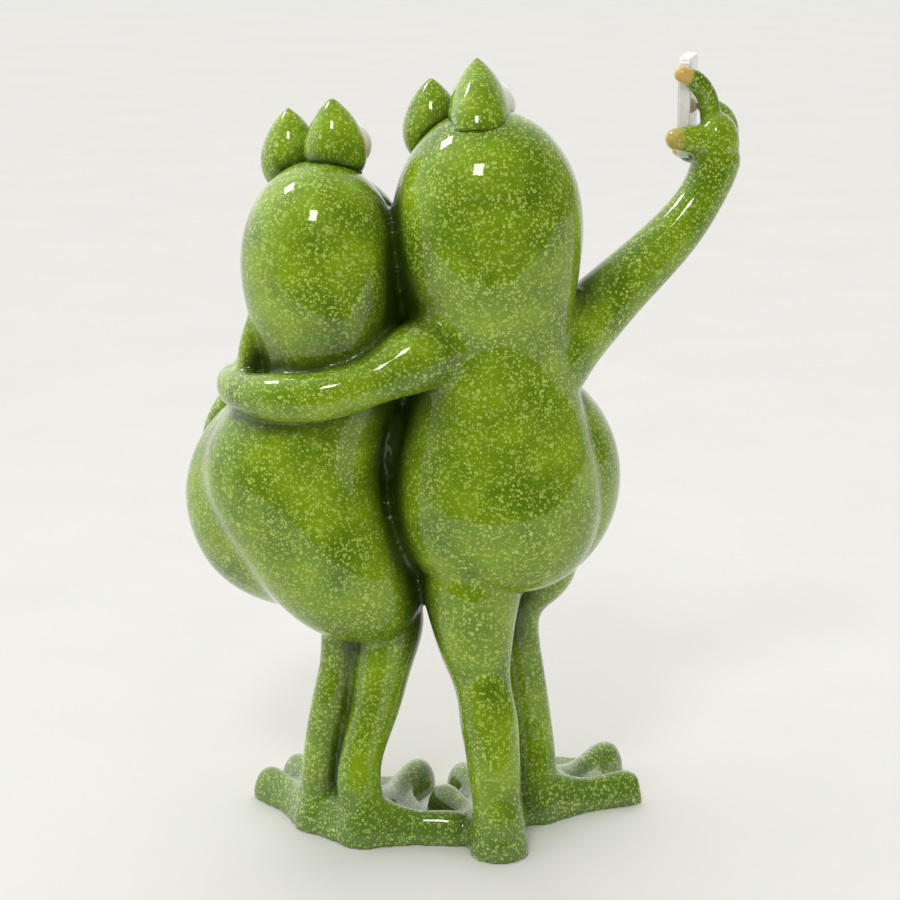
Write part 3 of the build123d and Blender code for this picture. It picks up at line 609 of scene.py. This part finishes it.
def spattered_green():
    """Resin paint: satin green under the drops and the lacquer, darker where the wash gathered, with painted
    shade in the creases and between the frogs.
    """
    material, tree, shader = blank("lacquered_green_resin_paint")
    coords = add(tree, "ShaderNodeTexCoord").outputs["Object"]
    green = over(tree, linear("#547500"), linear("#84a50c"), clouds(tree, coords, SHADE_MM, 0.3, 0.7))
    green = over(tree, linear("#5c7b2b"), green, rising(tree, coords, *FEET_FADE_MM))
    green = over(tree, green, linear("#c3c765"), mask(tree, "pale", 0.0, 1.0))
    fine = spatter(tree, coords, *FINE_DROPS)
    coarse = spatter(tree, coords, *LARGE_DROPS)
    drops = add(tree, "ShaderNodeMath", {0: fine, 1: coarse}, operation="MAXIMUM").outputs[0]
    thin = clouds(tree, coords, THIN_SPATTER_MM, 0.3, 0.7)
    strength = add(tree, "ShaderNodeMapRange", {"Value": thin, "To Min": 0.55, "To Max": 1.0}).outputs["Result"]
    drops = add(tree, "ShaderNodeMath", {0: drops, 1: strength}, operation="MULTIPLY").outputs[0]
    green = over(tree, green, linear("#bdd466"), drops)
    # Wash and painted shade: a dark green in the creases and the gaps between the frogs.
    green = over(tree, green, linear("#2b4205"), mask(tree, "wash_and_painted_shade", 0.1, 0.6))
    green = over(tree, green, linear("#cfae62"), mask(tree, "gold", 0.2, 0.8))
    green = over(tree, green, linear("#d58a55"), mask(tree, "rim", 0.3, 0.9))
    green = over(tree, green, linear("#2c3a08"), mask(tree, "line", 0.25, 0.8))
    tree.links.new(green, shader.inputs["Base Color"])
    height = {"Height": drops, "Strength": 0.15, "Distance": DROP_RISE_MM * MM}
    tree.links.new(add(tree, "ShaderNodeBump", height).outputs["Normal"], shader.inputs["Normal"])
    lacquer(shader)
    return material


green_paint = spattered_green()
print("mixed", green_paint.name)

# %% [markdown]
# ## Enamel, glass and steel
#
# The eyeballs are white enamel with a black pupil, painted where each eye looks. The phone is white
# enamel too, with a dark screen. The wires inside the limbs are drawn steel, and stay hidden.

# %% Mix the other finishes
PUPIL_MM = 3.2
EYE_CENTERS_MM = {
    "tall_right": (8.1, -0.5, 197.4), "tall_left": (-3.8, 9.5, 190.9),
    "small_right": (-29.4, 0.1, 186.9), "small_left": (-41.4, 10.1, 182.9),
}
EYE_RADIUS_MM = 6.5


def eye_enamel(eye):
    """Enamel: a hard opaque gloss, here off-white with a round black pupil dabbed on."""
    material, tree, shader = blank(eye + "_eye_enamel")
    coords = add(tree, "ShaderNodeTexCoord").outputs["Object"]
    pupil = (np.array(EYE_CENTERS_MM[eye]) + AHEAD * EYE_RADIUS_MM) * MM
    inputs = {0: coords, 1: pupil.tolist()}
    gap = add(tree, "ShaderNodeVectorMath", inputs, operation="DISTANCE").outputs["Value"]
    inputs = {"Value": gap, "From Min": PUPIL_MM * MM, "From Max": (PUPIL_MM + 0.25) * MM}
    outside = add(tree, "ShaderNodeMapRange", inputs).outputs["Result"]
    white = over(tree, linear("#e6e3d8"), linear("#f1efe8"), clouds(tree, coords, 3.0, 0.3, 0.7))
    tree.links.new(over(tree, linear("#121212"), white, outside), shader.inputs["Base Color"])
    lacquer(shader)
    return material


def phone_enamel():
    """Enamel over resin: white, with the faint brush streaks that hand painting leaves."""
    material, tree, shader = blank("white_phone_enamel")
    coords = add(tree, "ShaderNodeTexCoord").outputs["Object"]
    streaks = clouds(tree, coords, 2.5, 0.3, 0.7)
    tree.links.new(over(tree, linear("#dcdcd9"), linear("#efefec"), streaks), shader.inputs["Base Color"])
    lacquer(shader)
    return material


def screen_gloss():
    """Black enamel: a dark mirror, a little uneven where the brush turned."""
    material, tree, shader = blank("black_screen_enamel")
    coords = add(tree, "ShaderNodeTexCoord").outputs["Object"]
    tree.links.new(over(tree, linear("#101216"), linear("#1d2126"), clouds(tree, coords, 5.0, 0.3, 0.7)),
                   shader.inputs["Base Color"])
    lacquer(shader)
    return material


def drawn_steel():
    """Drawn steel wire: grey metal with a fine mottle in its colour and a soft shine."""
    material, tree, shader = blank("drawn_steel_wire")
    coords = add(tree, "ShaderNodeTexCoord").outputs["Object"]
    lines = clouds(tree, coords, 0.4, 0.3, 0.7)
    tree.links.new(over(tree, linear("#8d8f90"), linear("#b4b6b7"), lines), shader.inputs["Base Color"])
    shader.inputs["Metallic"].default_value = 1.0
    shader.inputs["Roughness"].default_value = 0.35
    return material


phone_paint = phone_enamel()
screen_paint = screen_gloss()
steel = drawn_steel()
print("mixed", phone_paint.name, screen_paint.name, steel.name)

# %% [markdown]
# ## The phone's screen
#
# The phone solid is right as it is and stays. Its screen is a thin plate let into the side that looks
# back at the faces: a cube, flattened to size, with its corners bevelled round and its edges broken.
# It is a little smaller than the phone, so a rim of white stays round the black.

# %% Model the screen
PHONE_MM = (60.9, 17.1, 195.0)
PHONE_TURN = math.radians(-13)
PHONE_HALF_THICK_MM = 1.6
SCREEN_MM = (0.3, 11.6, 23.6)
SCREEN_CORNER_MM = 1.6
SCREEN_EDGE_MM = 0.08

bpy.ops.object.select_all(action="DESELECT")
bpy.ops.mesh.primitive_cube_add(size=1)
screen = bpy.context.object
screen.name = "phone_screen"
screen.scale = Vector(SCREEN_MM) * MM
bpy.ops.object.transform_apply(location=False, rotation=False, scale=True)
bpy.ops.object.mode_set(mode="EDIT")
bpy.context.tool_settings.mesh_select_mode = (False, True, False)
bpy.ops.mesh.select_all(action="DESELECT")
bpy.ops.object.mode_set(mode="OBJECT")
for edge in screen.data.edges:
    start, end = (screen.data.vertices[index].co for index in edge.vertices)
    edge.select = abs(start.x - end.x) > SCREEN_MM[0] * MM / 2
bpy.ops.object.mode_set(mode="EDIT")
bpy.ops.mesh.bevel(offset=SCREEN_CORNER_MM * MM, segments=5)
bpy.ops.object.mode_set(mode="OBJECT")
side = Vector((math.cos(PHONE_TURN), math.sin(PHONE_TURN), 0))
screen.rotation_euler.z = PHONE_TURN
screen.location = Vector(PHONE_MM) * MM - side * (PHONE_HALF_THICK_MM * MM)
bpy.ops.object.transform_apply(location=True, rotation=True, scale=True)
modify(screen, "BEVEL", width=SCREEN_EDGE_MM * MM, segments=2, limit_method="ANGLE")
print("screen", len(screen.data.polygons), "faces")

# %% [markdown]
# ## Dressing the pieces
#
# Every piece gets its finish and rides on the figure's one body, and the CAD node it stands for, if any, is
# hidden.
# The phone and the wires keep their CAD meshes and only change their material.

# %% Give each piece its finish
def dress(piece, node, finish):
    piece.data.materials.clear()
    piece.data.materials.append(finish)
    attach(piece, "root")
    if node:
        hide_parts(node)


for node, piece in pieces.items():
    if node.endswith("_eyeball"):
        dress(piece, node, eye_enamel(node.removesuffix("_eyeball")))
    else:
        dress(piece, node, green_paint)
dress(screen, None, screen_paint)
for node, finish in (("phone", phone_paint), ("arm_wires", steel), ("leg_wires", steel)):
    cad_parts[node].data.materials.clear()
    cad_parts[node].data.materials.append(finish)
print("dressed", len(pieces) + 1, "pieces and 3 CAD nodes")

# %% [markdown]
# ## Table, lights and camera
#
# The photograph was taken on a white table in a dim room with two softboxes: the lacquer mirrors the
# table in the lower half of each bulge, the dim room in the upper half, and the softboxes as small
# bright squares. So the sky is bright on the far left, where the window is, and dim on the camera's
# side, most of all for the mirror of the lacquer. The table ends a little in front of the figure,
# which puts the edge of its mirror image low on the bulges. The left softbox leaves the table out, so
# that the ground stays even. The camera looks a little down on the backs.

# %% Set up the studio
AIM_MM = (-2.5, -5.4, 105.7)
CAMERA_AWAY_MM = 720.0
CAMERA_DOWN = math.radians(15)
CAMERA_LENS = 107.7
TABLE_M = 8.0
TABLE_FRONT_M = 0.31
TABLE_GAP_MM = 0.1
WINDOW_SIDE = (-0.5, 0.85, 0.15)
SKY_STRENGTH = 1.35
SOFTBOX_M = 0.2
CAMERA_SOFTBOX_M = (-0.18, -0.72, 0.92)
CAMERA_SOFTBOX_W = 2.4
LEFT_SOFTBOX_M = (-0.62, 0.2, 0.95)
LEFT_SOFTBOX_W = 3.0


def paper():
    """White card: matt, with a faint cloudiness."""
    material, tree, shader = blank("white_card")
    coords = add(tree, "ShaderNodeTexCoord").outputs["Object"]
    tone = clouds(tree, coords, 60.0, 0.3, 0.7)
    tree.links.new(over(tree, linear("#ecebe8"), linear("#efeeeb"), tone), shader.inputs["Base Color"])
    shader.inputs["Roughness"].default_value = 0.6
    return material


def softbox(name, place_m, power):
    bpy.ops.object.light_add(type="AREA", location=place_m)
    light = bpy.context.object
    light.name = name
    light.data.size = SOFTBOX_M
    light.data.energy = power
    light.rotation_euler = (Vector(AIM_MM) * MM - light.location).to_track_quat("-Z", "Y").to_euler()
    return light


bpy.ops.object.select_all(action="DESELECT")
bpy.ops.mesh.primitive_grid_add(x_subdivisions=4, y_subdivisions=4, size=TABLE_M)
table = bpy.context.object
table.name = "table"
table.location = (0, TABLE_M / 2 - TABLE_FRONT_M, -TABLE_GAP_MM * MM)
table.data.materials.append(paper())
shaded = bpy.data.collections.new("shaded_from_softboxes")
shaded.objects.link(table)
shaded.collection_objects[0].light_linking.link_state = "EXCLUDE"

softbox("softbox_camera", CAMERA_SOFTBOX_M, CAMERA_SOFTBOX_W)
softbox("softbox_left", LEFT_SOFTBOX_M, LEFT_SOFTBOX_W).light_linking.receiver_collection = shaded

world = bpy.context.scene.world or bpy.data.worlds.new("studio")
bpy.context.scene.world = world
world.use_nodes = True
sky = world.node_tree
backdrop = sky.nodes["Background"]
direction = add(sky, "ShaderNodeTexCoord").outputs["Generated"]
inputs = {0: direction, 1: WINDOW_SIDE}
facing = add(sky, "ShaderNodeVectorMath", inputs, operation="DOT_PRODUCT").outputs["Value"]
inputs = {"Value": facing, "From Min": -0.3, "From Max": 0.8}
light_side = add(sky, "ShaderNodeMapRange", inputs, interpolation_type="SMOOTHSTEP").outputs["Result"]
lit = over(sky, linear("#b8b7b3"), linear("#ffffff"), light_side)
room = over(sky, linear("#2b2a26"), linear("#f2f2ee"), light_side)
mirrored = add(sky, "ShaderNodeLightPath").outputs["Is Glossy Ray"]
sky.links.new(over(sky, lit, room, mirrored), backdrop.inputs["Color"])
backdrop.inputs["Strength"].default_value = SKY_STRENGTH

back = Vector((0, -math.cos(CAMERA_DOWN), math.sin(CAMERA_DOWN)))
bpy.ops.object.camera_add(
    location=Vector(AIM_MM) * MM + back * (CAMERA_AWAY_MM * MM),
    rotation=(math.radians(90) - CAMERA_DOWN, 0, 0),
)
camera = bpy.context.object
camera.data.lens = CAMERA_LENS
camera.data.sensor_width = 36.0
bpy.context.scene.camera = camera
bpy.context.scene.view_settings.view_transform = "Standard"
print("camera at", [round(x, 3) for x in camera.location])
